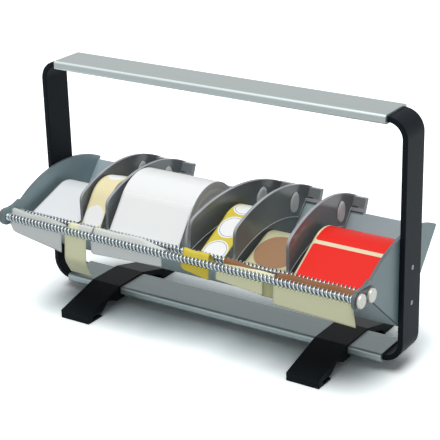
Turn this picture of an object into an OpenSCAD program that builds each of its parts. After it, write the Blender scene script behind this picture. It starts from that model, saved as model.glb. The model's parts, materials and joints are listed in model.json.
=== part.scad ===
// Label roll dispenser: a tray of label rolls hung in a flat-bar frame on two clip-on feet.
// X runs left to right, Y front to back, Z up from the table. Sizes are millimetres.

/* [Frame] */
// Clear width between the two uprights
frame_w = 512; // [420:1:640]
// Height from the table to the top of the top rail
frame_h = 323; // [290:1:420]
// Height of the bottom rail's underside above the table
rail_clear = 14.1; // [13:0.1:20]
// Depth of both rails, front to back
rail_depth = 53; // [50:1:60]
// Height of the rail section
rail_h = 11.5; // [9:0.1:14]
// Radius of the rails' long edges
rail_edge_r = 3.5; // [1:0.1:4]
// Thickness of the uprights' flat bar
bar_t = 7; // [5:0.1:8]
// Depth of the uprights' flat bar
bar_depth = 44; // [30:1:46]
// Radius of the flat bar's long edges
bar_edge_r = 1.2; // [0.5:0.1:2]
// Inside radius of the uprights' bends
bend_r = 19; // [12:1:30]
// Length of bar that plugs into each rail end
tongue_len = 30; // [15:1:50]
// Clearance of the bar in the rail, each side
tongue_fit = 0.05; // [0.02:0.01:0.2]

/* [Feet] */
// Distance from a rail's end to a foot's centre
foot_inset = 66.25; // [40:0.25:100]
// Width of a foot
foot_w = 44.5; // [30:0.5:60]
// Reach of a foot in front of the rail's middle
foot_front = 97.6; // [80:0.1:120]
// Reach of a foot behind the rail's middle
foot_back = 102; // [80:0.5:120]
// Height of the blunt front end
foot_tip_h = 10.7; // [8:0.1:14]
// Height of the rear end
foot_tail_h = 3; // [2:0.1:6]
// Thickness of a foot's skin over the rail
foot_skin = 2; // [1.5:0.1:5]
// Thickness of a foot's side walls
foot_wall = 3; // [2:0.1:5]
// Length of the front lip on the table
foot_lip_len = 28.6; // [15:0.1:35]
// Thickness of the front lip
foot_lip_t = 2.4; // [2:0.1:3]
// Depth of the front stop in front of the lip's notch
foot_stop = 9.6; // [6:0.1:14]
// Length of the rear block on the table
foot_block = 31; // [20:1:40]
// Thickness of the clip's rear lug under the rail
clip_t = 4; // [3:0.1:6]
// Clearance of the clip round the rail
clip_fit = 0.1; // [0.05:0.05:0.3]

/* [Tray] */
// Tilt of the tray's floor above level
tray_tilt = 40.5; // [35:0.5:45]
// Tray corner from the uprights' middle, front to back
tray_y = -9.8; // [-15:0.1:0]
// Height of the tray's corner
tray_z = 57.8; // [50:0.1:80]
// Thickness of the tray sheet
sheet_t = 1.5; // [1:0.1:2]
// Outside radius of the tray's bend
tray_bend = 4.5; // [3:0.1:8]
// Length of the tray's floor
floor_len = 105; // [90:1:106]
// Length of the tray's back wall
wall_len = 129.5; // [110:0.5:132]
// Width of the hems
hem_h = 10; // [6:0.5:15]

/* [End plates] */
// Thickness of an end plate
plate_t = 4; // [2:0.1:6]
// Radius of an end plate's arched top
plate_arc_r = 174; // [170:1:190]
// Centre of that arch, front to back
plate_arc_y = 2; // [-4:0.5:6]
// Height of the centre of that arch
plate_arc_z = 4; // [0:0.5:10]
// Length of an end plate along the floor
plate_floor = 122; // [115:1:124]
// Length of an end plate along the wall
plate_wall = 134; // [133:0.5:140]
// Radius of an end plate's lower corner
plate_corner = 5; // [2:0.5:8]
// Radius of the nose round the rods
nose_r = 11; // [9:0.5:13]

/* [Rods and springs] */
// Diameter of a rod
rod_d = 5; // [4:0.1:5.2]
// Front rod from the uprights' middle
front_rod_y = -120.5; // [-125:0.1:-118]
// Height of the front rod
front_rod_z = 138.5; // [136:0.1:142]
// Rear rod from the uprights' middle
rear_rod_y = -95.4; // [-97:0.1:-94]
// Height of the rear rod
rear_rod_z = 135.8; // [134:0.1:138]
// Clearance of a rod in its holes, each side
rod_fit = 0.05; // [0.02:0.01:0.2]
// Outside diameter of a spring
spring_d = 10; // [9.6:0.1:11]
// Diameter of the spring wire
wire_d = 2; // [1:0.1:2]
// Turns of a spring
spring_turns = 45; // [20:1:45]
// Thickness of a clamp plate
clamp_t = 1.5; // [1:0.1:2]
// Margin of a clamp plate inside the nose
clamp_margin = 0.5; // [0:0.1:2]
// Diameter of a cap nut
cap_d = 17; // [12:0.5:20]
// Thickness of a cap nut
cap_t = 4; // [3:0.1:5]
// Radius of a cap nut's outer edge
cap_edge_r = 1.5; // [0.5:0.1:2]
// Skin of a cap nut over the rod's end
cap_skin = 1; // [0.8:0.1:1.5]

/* [Tray screws] */
// Diameter of a screw's shank
screw_d = 3; // [2:0.1:4]
// Diameter of a screw's countersunk head
screw_head_d = 5.6; // [4.5:0.1:8]
// Height of a screw's head
screw_head_h = 1.6; // [1:0.1:3]
// Clearance of a screw in its hole, each side
screw_fit = 0.05; // [0.02:0.01:0.2]
// Width of a screw's drive slot
screw_slot = 0.9; // [0.6:0.1:1.2]
// Height of the upper screws
screw_high_z = 134.5; // [120:0.1:140]
// Height of the lower screws
screw_low_z = 89.2; // [80:0.1:100]

/* [Dividers] */
// Thickness of a divider
div_t = 4; // [3:0.1:6]
// Radius of a divider's arched top
arch_r = 170; // [165:1:172]
// Centre of that arch, front to back
arch_y = 6.2; // [4:0.1:8]
// Rise of that arch above the saddle on the tray's wall
arch_rise = 19; // [14:0.5:26]
// Front edge from the uprights' middle
div_front = -80.3; // [-84:0.1:-78]
// Radius of the top front corner
div_corner = 12; // [6:0.5:16]
// Clearance of a divider over the tray, each face
slide_gap = 0.4; // [0.3:0.05:0.5]
// Radius of the step under a divider's thick band
step_r = 153.5; // [150:0.5:156]
// Height of the centre of that step
step_z = -0.9; // [-3:0.1:1]
// Depth of that step on each face
step_t = 0.8; // [0.4:0.1:1]
// Gap between the thick band and the tray's wall
band_gap = 3; // [2:0.1:5]
// Width of the wall saddle and tab beside a divider
tab_w = 17; // [12:0.5:20]
// Wall of the saddle over the tray's hem
saddle_wall = 2.2; // [1.5:0.1:3]
// Reach of the saddle's rear leg down the hem
saddle_leg = 7.5; // [4:0.5:9]
// Reach of the saddle's front lip down the wall
saddle_lip = 1.5; // [1:0.1:3]
// Roof of the saddle over the hem
saddle_roof = 3.5; // [2:0.1:5]
// Height of the tab above the saddle
tab_h = 16.5; // [8:0.5:20]
// Lean of the tab's top towards the front
tab_lean = 4.5; // [2:0.5:6]
// Thickness of the tab's top edge
tab_top = 6; // [4:0.5:7]
// Length of the slit under the tab
slit_len = 8; // [4:0.5:12]
// Height of the slit under the tab
slit_h = 1.6; // [1:0.1:2]
// Height of the pointed thumb pad
pad_h = 28; // [18:0.5:30]
// Width of the thumb pad
pad_w = 17; // [10:0.5:18]
// Lean of the thumb pad from upright
pad_lean = 6.5; // [0:0.5:12]
// Rise of the thumb pad above the face
pad_t = 0.6; // [0.4:0.1:1]
// Centre of the thumb pad, front to back
pad_y = 44.5; // [42:0.5:48]
// Height of the thumb pad's centre
pad_z = 166; // [160:0.5:168]
// Place of divider 1 along the tray, as a share of its length
div_1_share = 0.1815; // [0.16:0.001:0.19]
// Place of divider 2 along the tray, as a share of its length
div_2_share = 0.2591; // [0.25:0.001:0.28]
// Place of divider 3 along the tray, as a share of its length
div_3_share = 0.5183; // [0.48:0.001:0.53]
// Place of divider 4 along the tray, as a share of its length
div_4_share = 0.6367; // [0.63:0.001:0.66]
// Place of divider 5 along the tray, as a share of its length
div_5_share = 0.7806; // [0.77:0.001:0.8]
// Turn of divider 1 seen from above, its back to the right
div_1_yaw = 1.5; // [0:0.1:4]
// Turn of divider 2 seen from above, its back to the right
div_2_yaw = 1.8; // [0:0.1:4]
// Turn of divider 3 seen from above, its back to the right
div_3_yaw = 11.2; // [0:0.1:12]
// Turn of divider 4 seen from above, its back to the right
div_4_yaw = 3.5; // [0:0.1:5]
// Turn of divider 5 seen from above, its back to the right
div_5_yaw = 0; // [0:0.1:4]
// Lean of divider 1's top to the right
div_1_lean = 0; // [0:0.1:2]
// Lean of divider 2's top to the right
div_2_lean = 1.2; // [0:0.1:2]
// Lean of divider 3's top to the right
div_3_lean = 5.4; // [0:0.1:6]
// Lean of divider 4's top to the right
div_4_lean = 2; // [0:0.1:3]
// Lean of divider 5's top to the right
div_5_lean = 0; // [0:0.1:2]

/* [Rolls] */
// Clearance of a roll over the tray
roll_gap = 0.3; // [0.2:0.05:1]
// Gap between roll 1 and the left end plate
roll_1_left_gap = 10; // [1:0.1:12]
// Gap between roll 6 and the right end plate
roll_6_right_gap = 1.5; // [1:0.1:5]
// Gap between a roll and a divider
roll_side_gap = 1.2; // [1:0.1:5]
// Gap between roll 3 and divider 2
roll_3_left_gap = 3.8; // [1:0.1:10]
// Gap between roll 3 and divider 3
roll_3_right_gap = 6.3; // [1:0.1:12]
// Gap between roll 6 and divider 5
roll_6_left_gap = 9; // [1:0.1:12]
// Bore of the card cores
core_bore = 25.4; // [20:0.1:30]
// Wall of the card cores
core_wall = 2.5; // [1.5:0.1:4]
// Fit of a core in its roll, each side
core_fit = 0.03; // [0.02:0.01:0.1]
// Radius of roll 1
roll_1_r = 39; // [25:0.5:50]
// Radius of roll 2
roll_2_r = 47.5; // [25:0.5:52]
// Radius of roll 3
roll_3_r = 55.5; // [25:0.5:57]
// Radius of roll 4
roll_4_r = 46; // [25:0.5:50]
// Radius of roll 5
roll_5_r = 35.5; // [25:0.5:50]
// Radius of roll 6
roll_6_r = 44.4; // [25:0.1:50]

/* [Strips] */
// Thickness of a strip of label web
web_t = 0.6; // [0.4:0.1:1]
// Clearance of a strip from rolls and springs
web_gap = 0.3; // [0.2:0.05:0.5]
// Inset of a strip from each end of its roll
web_inset = 0.8; // [0.2:0.1:3]
// Length of strip laid on its roll, in degrees
web_wrap = 6; // [2:1:20]
// Rise of the strip's crest between the springs above the rear rod
crest_rise = 4; // [1:0.5:6]
// Radius of the strip's crest between the springs
crest_r = 4; // [3:0.5:5]
// Radius of the strip's turn down at the front
drop_r = 5.5; // [4:0.5:8]
// Lower left corner of strip 1 above the table
strip_1_left = 122.7; // [80:0.1:128]
// Lower right corner of strip 1 above the table
strip_1_right = 109.2; // [80:0.1:128]
// Lower left corner of strip 3 above the table
strip_3_left = 119.8; // [80:0.1:126]
// Lower right corner of strip 3 above the table
strip_3_right = 125; // [80:0.1:126]
// Lower left corner of strip 4 above the table
strip_4_left = 126; // [80:0.1:126]
// Lower right corner of strip 4 above the table
strip_4_right = 121.5; // [80:0.1:126]
// Lower left corner of strip 5 above the table
strip_5_left = 124; // [80:0.1:126]
// Lower right corner of strip 5 above the table
strip_5_right = 118.5; // [80:0.1:126]
// Lower left corner of strip 6 above the table
strip_6_left = 111; // [80:0.1:126]
// Lower right corner of strip 6 above the table
strip_6_right = 107; // [80:0.1:126]
// Height where strip 2 starts to curl back
strip_2_bend = 122; // [110:0.1:124]
// Middle of strip 2's slack loop, front to back
slack_y = -35; // [-42:0.5:-30]
// Height of the middle of strip 2's slack loop
slack_z = 145.6; // [138:0.1:150]
// Radius of strip 2's slack loop
slack_r = 38; // [30:0.5:42]
// Radius of the other strips' slight curl
strip_curl_r = 400; // [200:10:600]
// Radius of strip 2's backward curl
strip_2_curl_r = 58; // [40:1:80]
// Angle of strip 2's backward curl
strip_2_curl = 56; // [20:1:70]

/* [Hidden] */
fine = 96;
eps = 0.01;
// Shift that puts the middle of the whole depth on Y = 0
y_shift = (nose_r - front_rod_y - foot_back) / 2;
inner_x = frame_w / 2;
rail_len = frame_w - 2 * bend_r;
rail_top = rail_clear + rail_h;
low_z = rail_clear + rail_h / 2;
high_z = frame_h - rail_h / 2;
rail_half = rail_depth / 2;
plate_x = inner_x - plate_t;
wall_face = -2 * sheet_t;
core_od = core_bore + 2 * core_wall;
foot_x = rail_len / 2 - foot_inset;
spring_r = spring_d / 2;
nose_span = norm([front_rod_y - rear_rod_y, front_rod_z - rear_rod_z]);
nose_angle = atan2(front_rod_z - rear_rod_z, front_rod_y - rear_rod_y);
cap_x = inner_x + clamp_t;
rod_end = cap_x + cap_t - cap_skin;
saddle_top = wall_len + slide_gap + saddle_roof;
web_off = web_gap + web_t / 2;
steel = [0.75, 0.76, 0.78];
black = [0.1, 0.1, 0.11];
plate_grey = [0.44, 0.5, 0.52];
div_grey = [0.29, 0.29, 0.31];

// Point on the side view from lengths along the tray's floor and wall
function from_tray(p, q) = [
  tray_y + p * cos(tray_tilt) + q * sin(tray_tilt),
  tray_z - p * sin(tray_tilt) + q * cos(tray_tilt)];

// Centre of a roll that lies on the tray's floor and against its wall
function roll_at(r) = from_tray(wall_face - roll_gap - r, sheet_t + roll_gap + r);

// Height of the centre of the dividers' arch, which clears the saddle by the arch's rise
saddle_back = from_tray(0, saddle_top);
arch_z = saddle_back[1] + arch_rise - sqrt(pow(arch_r, 2) - pow(saddle_back[0] - arch_y, 2));

// Middle of a divider at the tray's corner, from its share of the tray's length
function place(share) = plate_x * (2 * share - 1);

// Furthest X of a divider's right (1) or left (-1) face beside a roll of radius r
function reach(share, yaw, lean, r, side) =
  let (c = roll_at(r),
    across = tan(yaw),
    up = tan(lean) / cos(yaw),
    half = div_t / 2 / (cos(yaw) * cos(lean)))
  place(share) + across * (c[0] - tray_y) + up * (c[1] - tray_z)
    + side * (half + norm([across, up]) * r);

// Left and right end of each roll, from the faces that close its bay
roll_1_span = [roll_1_left_gap - plate_x,
  reach(div_1_share, div_1_yaw, div_1_lean, roll_1_r, -1) - roll_side_gap];
roll_2_span = [reach(div_1_share, div_1_yaw, div_1_lean, roll_2_r, 1) + roll_side_gap,
  reach(div_2_share, div_2_yaw, div_2_lean, roll_2_r, -1) - roll_side_gap];
roll_3_span = [reach(div_2_share, div_2_yaw, div_2_lean, roll_3_r, 1) + roll_3_left_gap,
  reach(div_3_share, div_3_yaw, div_3_lean, roll_3_r, -1) - roll_3_right_gap];
roll_4_span = [reach(div_3_share, div_3_yaw, div_3_lean, roll_4_r, 1) + roll_side_gap,
  reach(div_4_share, div_4_yaw, div_4_lean, roll_4_r, -1) - roll_side_gap];
roll_5_span = [reach(div_4_share, div_4_yaw, div_4_lean, roll_5_r, 1) + roll_side_gap,
  reach(div_5_share, div_5_yaw, div_5_lean, roll_5_r, -1) - roll_side_gap];
roll_6_span = [reach(div_5_share, div_5_yaw, div_5_lean, roll_6_r, 1) + roll_6_left_gap,
  plate_x - roll_6_right_gap];

// Helpers that draw in the side view, with Y to the right and Z up
module along_x(x0, len) {
  translate([x0, y_shift, 0])
    rotate([90, 0, 90])
      linear_extrude(height = len)
        children();
}

module in_tray() {
  translate([tray_y, tray_z])
    rotate(-tray_tilt)
      children();
}

module disc(at, r) {
  translate(at)
    circle(r = r, $fn = fine);
}

module round_rect(w, h, r) {
  square([w - 2 * r, h], center = true);
  square([w, h - 2 * r], center = true);
  for (sx = [-1, 1])
    for (sy = [-1, 1])
      disc([sx * (w / 2 - r), sy * (h / 2 - r)], r);
}

// Corner field of the tray's side view, with its lower corner rounded
module corner_field(p_max, q_min, p_len, q_len, r) {
  translate([p_max - p_len, q_min])
    square([p_len - r, q_len]);
  translate([p_max - r, q_min + r])
    square([r, q_len - r]);
  disc([p_max - r, q_min + r], r);
}

// Frame
module bar_section() {
  round_rect(bar_t, bar_depth, bar_edge_r);
}

module bar_bend(start) {
  rotate([90, 0, 0])
    rotate(start)
      rotate_extrude(angle = 90, $fn = fine)
        translate([bend_r + bar_t / 2, 0])
          bar_section();
}

module upright() {
  bend_x = inner_x - bend_r;
  bend_low = low_z + bar_t / 2 + bend_r;
  bend_high = high_z - bar_t / 2 - bend_r;
  difference() {
    union() {
      translate([inner_x + bar_t / 2, y_shift, bend_low])
        linear_extrude(height = bend_high - bend_low)
          bar_section();
      translate([bend_x, y_shift, bend_high])
        bar_bend(0);
      translate([bend_x, y_shift, bend_low])
        bar_bend(-90);
      for (z = [low_z, high_z])
        along_x(bend_x - tongue_len, tongue_len)
          translate([0, z])
            round_rect(bar_depth, bar_t, bar_edge_r);
    }
    for (z = [screw_low_z, screw_high_z])
      translate([inner_x, y_shift, z])
        screw_form(screw_fit);
  }
}

module left_upright() {
  color(black)
    mirror([1, 0, 0])
      upright();
}

module right_upright() {
  color(black)
    upright();
}

module rail(z) {
  color([0.8, 0.82, 0.82])
    along_x(-rail_len / 2, rail_len)
      translate([0, z])
        difference() {
          round_rect(rail_depth, rail_h, rail_edge_r);
          square([bar_depth + 2 * tongue_fit, bar_t + 2 * tongue_fit], center = true);
        }
}

module top_rail() {
  rail(high_z);
}

module bottom_rail() {
  rail(low_z);
}

// Feet
module foot_side() {
  top_z = rail_top + clip_fit + foot_skin;
  pocket = rail_half + clip_fit;
  under = rail_clear - clip_fit;
  knee_y = foot_back - 34;
  knee_z = foot_tail_h + 13.5;
  lip_y = -foot_front + foot_lip_len;
  block_y = foot_back - foot_block;
  polygon([
    [-foot_front, 0], [-foot_front, foot_tip_h],
    [-rail_half - 1.7, top_z], [rail_half - 1.5, top_z],
    [knee_y, knee_z], [foot_back, foot_tail_h], [foot_back, 0],
    [block_y, 0], [block_y - 7, knee_z - 8],
    [rail_half + clip_t, rail_top - 5.5], [rail_half + clip_t, under - clip_t],
    [rail_half - 6, under - clip_t], [rail_half - 6, under],
    [pocket, under], [pocket, rail_top + clip_fit],
    [-pocket, rail_top + clip_fit], [-pocket, under],
    [-rail_half + 8, under], [-rail_half + 8, under - clip_t - 1],
    [-rail_half - 10, under - clip_t - 1], [-2 * rail_half, rail_clear + 2],
    [lip_y, foot_lip_t + 3.1], [-foot_front + foot_stop, foot_lip_t + 4.1],
    [-foot_front + foot_stop, foot_lip_t], [lip_y, foot_lip_t], [lip_y, 0]]);
}

// Hollow under the foot's front skin, between its side walls
module foot_front_hollow() {
  polygon([
    [-foot_front + foot_stop, foot_lip_t + 2], [-foot_front + foot_stop, foot_tip_h - 1],
    [-2 * rail_half - 1, rail_top - 6], [-2 * rail_half - 1, rail_clear - 3],
    [-foot_front + foot_lip_len, foot_lip_t + 2]]);
}

// Hollow under the foot's rear skin, between its side walls
module foot_rear_hollow() {
  block_y = foot_back - foot_block;
  polygon([
    [rail_half + clip_t + 3, rail_top - 3], [block_y - 7, foot_tail_h + 11],
    [block_y - 7, foot_tail_h], [rail_half + clip_t + 3, rail_clear - 4]]);
}

module foot(mid) {
  color(black)
    difference() {
      along_x(mid - foot_w / 2, foot_w)
        foot_side();
      along_x(mid - foot_w / 2 + foot_wall, foot_w - 2 * foot_wall)
        foot_front_hollow();
      along_x(mid - foot_w / 2 + foot_wall, foot_w - 2 * foot_wall)
        foot_rear_hollow();
    }
}

module left_foot() {
  foot(-foot_x);
}

module right_foot() {
  foot(foot_x);
}

// Tray
module tray_bend_side() {
  mid_p = -sheet_t - tray_bend;
  difference() {
    disc([mid_p, tray_bend], tray_bend);
    disc([mid_p, tray_bend], tray_bend - sheet_t);
    translate([mid_p - 2 * tray_bend, -tray_bend])
      square([2 * tray_bend, 4 * tray_bend]);
    translate([mid_p - eps, tray_bend])
      square([2 * tray_bend, 2 * tray_bend]);
  }
}

module tray() {
  color([0.62, 0.68, 0.7])
    along_x(-plate_x, 2 * plate_x)
      in_tray() {
        tray_bend_side();
        translate([-floor_len, 0])
          square([floor_len - sheet_t - tray_bend, sheet_t]);
        translate([wall_face, tray_bend])
          square([sheet_t, wall_len - sheet_t - tray_bend]);
        translate([-sheet_t, wall_len - hem_h])
          square([sheet_t, hem_h - sheet_t]);
        disc([-sheet_t, wall_len - sheet_t], sheet_t);
        translate([-floor_len, -sheet_t])
          square([hem_h, sheet_t]);
      }
}

// End plates
module nose_side(r) {
  translate([rear_rod_y, rear_rod_z])
    rotate(nose_angle) {
      disc([0, 0], r);
      disc([nose_span, 0], r);
      translate([0, -r])
        square([nose_span, 2 * r]);
    }
}

// Hollow-curved root that runs from the nose up to the plate's arch
module nose_root() {
  top = nose_r + rear_rod_z;
  polygon([[front_rod_y + 4, front_rod_z + 4], [front_rod_y + 4, front_rod_z + nose_r - 0.8],
    [rear_rod_y - 9.5, top + 3.4], [rear_rod_y, top + 6.6],
    [rear_rod_y + 5.4, top + 5], [rear_rod_y + 5, rear_rod_z + 4]]);
}

module rod_holes() {
  disc([front_rod_y, front_rod_z], rod_d / 2 + rod_fit);
  disc([rear_rod_y, rear_rod_z], rod_d / 2 + rod_fit);
}

module end_plate_side() {
  difference() {
    union() {
      intersection() {
        disc([plate_arc_y, plate_arc_z], plate_arc_r);
        in_tray()
          corner_field(0, 0, plate_floor, plate_wall, plate_corner);
      }
      nose_side(nose_r);
    }
    rod_holes();
    disc([0, screw_low_z], screw_d / 2 + screw_fit);
    disc([0, screw_high_z], screw_d / 2 + screw_fit);
  }
}

module end_plate(x) {
  union() {
    along_x(x, plate_t)
      end_plate_side();
    along_x(x, plate_t)
      nose_root();
  }
}

module left_end_plate() {
  color(plate_grey)
    end_plate(-inner_x);
}

module right_end_plate() {
  color(plate_grey)
    end_plate(plate_x);
}

// Countersunk screw through the bar into the end plate, grown by a clearance
module screw_form(grow) {
  head_x = bar_t - screw_head_h;
  rotate([0, 90, 0]) {
    translate([0, 0, -plate_t - (grow > 0 ? 1 : 0)])
      cylinder(r = screw_d / 2 + grow, h = plate_t + head_x + eps + (grow > 0 ? 1 : 0), $fn = fine);
    translate([0, 0, head_x])
      cylinder(r1 = screw_d / 2 + grow, r2 = screw_head_d / 2 + grow, h = screw_head_h, $fn = fine);
  }
}

module tray_screws() {
  color(steel)
    for (side = [0, 1])
      for (z = [screw_low_z, screw_high_z])
        mirror([side, 0, 0])
          translate([inner_x, y_shift, z])
            difference() {
              screw_form(0);
              translate([bar_t - 0.7, -screw_head_d, -screw_slot / 2])
                cube([2, 2 * screw_head_d, screw_slot]);
            }
}

// Rods, springs and their fixings
module rod(y, z) {
  color(steel)
    along_x(-rod_end, 2 * rod_end)
      disc([y, z], rod_d / 2);
}

module front_rod() {
  rod(front_rod_y, front_rod_z);
}

module rear_rod() {
  rod(rear_rod_y, rear_rod_z);
}

// Middle line of the spring: a straight start, the turns and a straight end
spring_rings = 8;
spring_sides = 6;
coil_r = spring_r - wire_d / 2;
spring_half = plate_x - 0.1;
coil_half = spring_half - wire_d;
coil_steps = spring_turns * spring_rings;
coil_angle = 360 / spring_rings;

function coil_at(i) = i < 0 ? [-spring_half, 0, coil_r]
  : i > coil_steps ? [spring_half, 0, coil_r]
  : [-coil_half + 2 * coil_half * i / coil_steps,
     coil_r * sin(i * coil_angle), coil_r * cos(i * coil_angle)];

function unit(v) = v / norm(v);

function coil_ring(i) =
  let (c = coil_at(i),
    t = i < 0 || i > coil_steps ? [1, 0, 0] : unit(coil_at(i + 1) - coil_at(i - 1)),
    out = [0, c[1], c[2]] / coil_r,
    n = unit(out - t * (out * t)),
    b = cross(t, n))
  [for (k = [0 : spring_sides - 1])
    c + wire_d / 2 * (n * cos(360 * k / spring_sides) + b * sin(360 * k / spring_sides))];

module spring(y, z) {
  rings = [for (i = [-1 : coil_steps + 1]) coil_ring(i)];
  last = len(rings) - 1;
  points = [for (ring = rings) for (p = ring) p];
  sides = [for (i = [0 : last - 1]) for (k = [0 : spring_sides - 1])
    let (a = i * spring_sides + k,
      b = i * spring_sides + (k + 1) % spring_sides)
    each [[a, b, b + spring_sides], [a, b + spring_sides, a + spring_sides]]];
  first_cap = [for (k = [1 : spring_sides - 2]) [0, k + 1, k]];
  last_cap = [for (k = [1 : spring_sides - 2])
    [last * spring_sides, last * spring_sides + k, last * spring_sides + k + 1]];
  gaps = [for (i = [0 : last - spring_rings - 3]) for (j = [i + spring_rings - 3 : i + spring_rings + 3])
    norm(coil_at(i) - coil_at(j)) - wire_d];
  echo(least_self_gap = min(gaps));
  color(steel)
    translate([0, y + y_shift, z])
      polyhedron(points = points, faces = concat(first_cap, sides, last_cap));
}

module front_spring() {
  spring(front_rod_y, front_rod_z);
}

module rear_spring() {
  spring(rear_rod_y, rear_rod_z);
}

module clamp_plate(x0) {
  color(steel)
    along_x(x0, clamp_t)
      difference() {
        nose_side(nose_r - clamp_margin);
        rod_holes();
      }
}

module left_clamp_plate() {
  clamp_plate(-inner_x - clamp_t);
}

module right_clamp_plate() {
  clamp_plate(inner_x);
}

module cap_nut() {
  bore = rod_d / 2 + rod_fit;
  rotate([0, 90, 0])
    rotate_extrude($fn = fine) {
      difference() {
        square([cap_d / 2 - cap_edge_r, cap_t]);
        translate([-eps, -eps])
          square([bore + eps, cap_t - cap_skin + 2 * eps]);
      }
      translate([cap_d / 2 - cap_edge_r - eps, 0])
        square([cap_edge_r + eps, cap_t - cap_edge_r]);
      intersection() {
        disc([cap_d / 2 - cap_edge_r, cap_t - cap_edge_r], cap_edge_r);
        translate([cap_d / 2 - cap_edge_r - eps, 0])
          square([2 * cap_edge_r, 2 * cap_t]);
      }
    }
}

module rod_cap_nuts() {
  color(steel)
    for (side = [0, 1])
      mirror([side, 0, 0]) {
        translate([cap_x, front_rod_y + y_shift, front_rod_z])
          cap_nut();
        translate([cap_x, rear_rod_y + y_shift, rear_rod_z])
          cap_nut();
      }
}

// Dividers
corner_y = div_front + div_corner;
corner_z = arch_z + sqrt(pow(arch_r - div_corner, 2) - pow(corner_y - arch_y, 2));
plate_edge = wall_face - slide_gap;
over_wall = wall_len + slide_gap;
hook_p = slide_gap + saddle_wall;

module divider_side() {
  difference() {
    intersection() {
      disc([arch_y, arch_z], arch_r);
      in_tray()
        union() {
          corner_field(plate_edge, sheet_t + slide_gap, arch_r, arch_r, tray_bend + slide_gap);
          translate([plate_edge - tab_w, saddle_top - 0.5])
            square([tab_w - plate_edge + hook_p, arch_r]);
        }
      translate([div_front, 0])
        square([2 * arch_r, 2 * arch_r]);
    }
    polygon([[div_front - 1, corner_z], [corner_y, corner_z],
      [corner_y + (corner_y - arch_y) * 0.2, corner_z + (corner_z - arch_z) * 0.2],
      [div_front - 1, corner_z + 3 * div_corner]]);
  }
  disc([corner_y, corner_z], div_corner);
}

// Parts of a divider's faces that lie below its thick upper band
module divider_step() {
  disc([0, step_z], step_r);
  in_tray()
    translate([plate_edge - band_gap, 0])
      square([band_gap + 1, wall_len - hem_h]);
}

module thumb_pad() {
  pad_r = (pad_h * pad_h + pad_w * pad_w) / (4 * pad_w);
  low_r = pad_w / 2 - 0.6;
  translate([pad_y, pad_z])
    rotate(-pad_lean) {
      intersection() {
        disc([pad_w / 2 - pad_r, 0], pad_r);
        disc([pad_r - pad_w / 2, 0], pad_r);
      }
      disc([0, low_r - pad_h / 2], low_r);
    }
}

module divider_plate() {
  left = -div_t / 2;
  difference() {
    along_x(left, div_t)
      divider_side();
    along_x(left - 1, 1 + step_t)
      divider_step();
    along_x(left + div_t - step_t, 1 + step_t)
      divider_step();
  }
  along_x(left - pad_t, div_t + 2 * pad_t)
    thumb_pad();
}

// Saddle over the tray's hem
module saddle_side() {
  front_p = plate_edge - saddle_wall;
  in_tray() {
    translate([front_p, over_wall - saddle_lip])
      square([saddle_wall, saddle_lip + saddle_roof]);
    translate([plate_edge - eps, over_wall])
      square([slide_gap - plate_edge + 2 * eps, saddle_roof]);
    translate([slide_gap, over_wall - saddle_leg])
      square([saddle_wall, saddle_leg + saddle_roof]);
  }
}

// Finger tab above the saddle
module tab_side() {
  front_p = plate_edge - saddle_wall;
  in_tray()
    polygon([[front_p, saddle_top - eps], [hook_p, saddle_top - eps],
      [front_p - tab_lean + tab_top + 2, saddle_top + tab_h - 2],
      [front_p - tab_lean + tab_top, saddle_top + tab_h - 0.5],
      [front_p - tab_lean, saddle_top + tab_h - 4]]);
}

module slit_side() {
  front_p = plate_edge - saddle_wall;
  in_tray()
    translate([front_p - 3, saddle_top - 0.4])
      square([3 + saddle_wall, slit_h]);
}

// A divider turns about its foot on the tray's corner, and its saddle stays square to the wall
module divider(share, yaw, lean) {
  mid = place(share);
  back = from_tray(0, saddle_top);
  back_x = mid + tan(yaw) * (back[0] - tray_y) + tan(lean) / cos(yaw) * (back[1] - tray_z);
  lift = div_t / 2 * (sin(yaw) * sin(tray_tilt) + sin(lean) * cos(tray_tilt));
  foot = [tray_y + y_shift, tray_z];
  color(div_grey) {
    translate([mid, foot[0] + lift * sin(tray_tilt), foot[1] + lift * cos(tray_tilt)])
      rotate(-yaw)
        rotate([0, lean, 0])
          translate([0, -foot[0], -foot[1]])
            divider_plate();
    difference() {
      along_x(back_x - div_t / 2, div_t + tab_w) {
        saddle_side();
        tab_side();
      }
      along_x(back_x + div_t / 2 + 0.5, slit_len)
        slit_side();
    }
  }
}

module divider_1() {
  divider(div_1_share, div_1_yaw, div_1_lean);
}

module divider_2() {
  divider(div_2_share, div_2_yaw, div_2_lean);
}

module divider_3() {
  divider(div_3_share, div_3_yaw, div_3_lean);
}

module divider_4() {
  divider(div_4_share, div_4_yaw, div_4_lean);
}

module divider_5() {
  divider(div_5_share, div_5_yaw, div_5_lean);
}

// Rolls on their cores
module label_roll(r, span) {
  color([0.92, 0.92, 0.88])
    along_x(span[0], span[1] - span[0])
      translate(roll_at(r))
        difference() {
          disc([0, 0], r);
          disc([0, 0], core_od / 2 + core_fit);
        }
}

module card_core(r, span) {
  color([0.72, 0.6, 0.44])
    along_x(span[0], span[1] - span[0])
      translate(roll_at(r))
        difference() {
          disc([0, 0], core_od / 2);
          disc([0, 0], core_bore / 2);
        }
}

module roll_1() {
  label_roll(roll_1_r, roll_1_span);
}

module roll_2() {
  label_roll(roll_2_r, roll_2_span);
}

module roll_3() {
  label_roll(roll_3_r, roll_3_span);
}

module roll_4() {
  label_roll(roll_4_r, roll_4_span);
}

module roll_5() {
  label_roll(roll_5_r, roll_5_span);
}

module roll_6() {
  label_roll(roll_6_r, roll_6_span);
}

module core_1() {
  card_core(roll_1_r, roll_1_span);
}

module core_2() {
  card_core(roll_2_r, roll_2_span);
}

module core_3() {
  card_core(roll_3_r, roll_3_span);
}

module core_4() {
  card_core(roll_4_r, roll_4_span);
}

module core_5() {
  card_core(roll_5_r, roll_5_span);
}

module core_6() {
  card_core(roll_6_r, roll_6_span);
}

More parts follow.
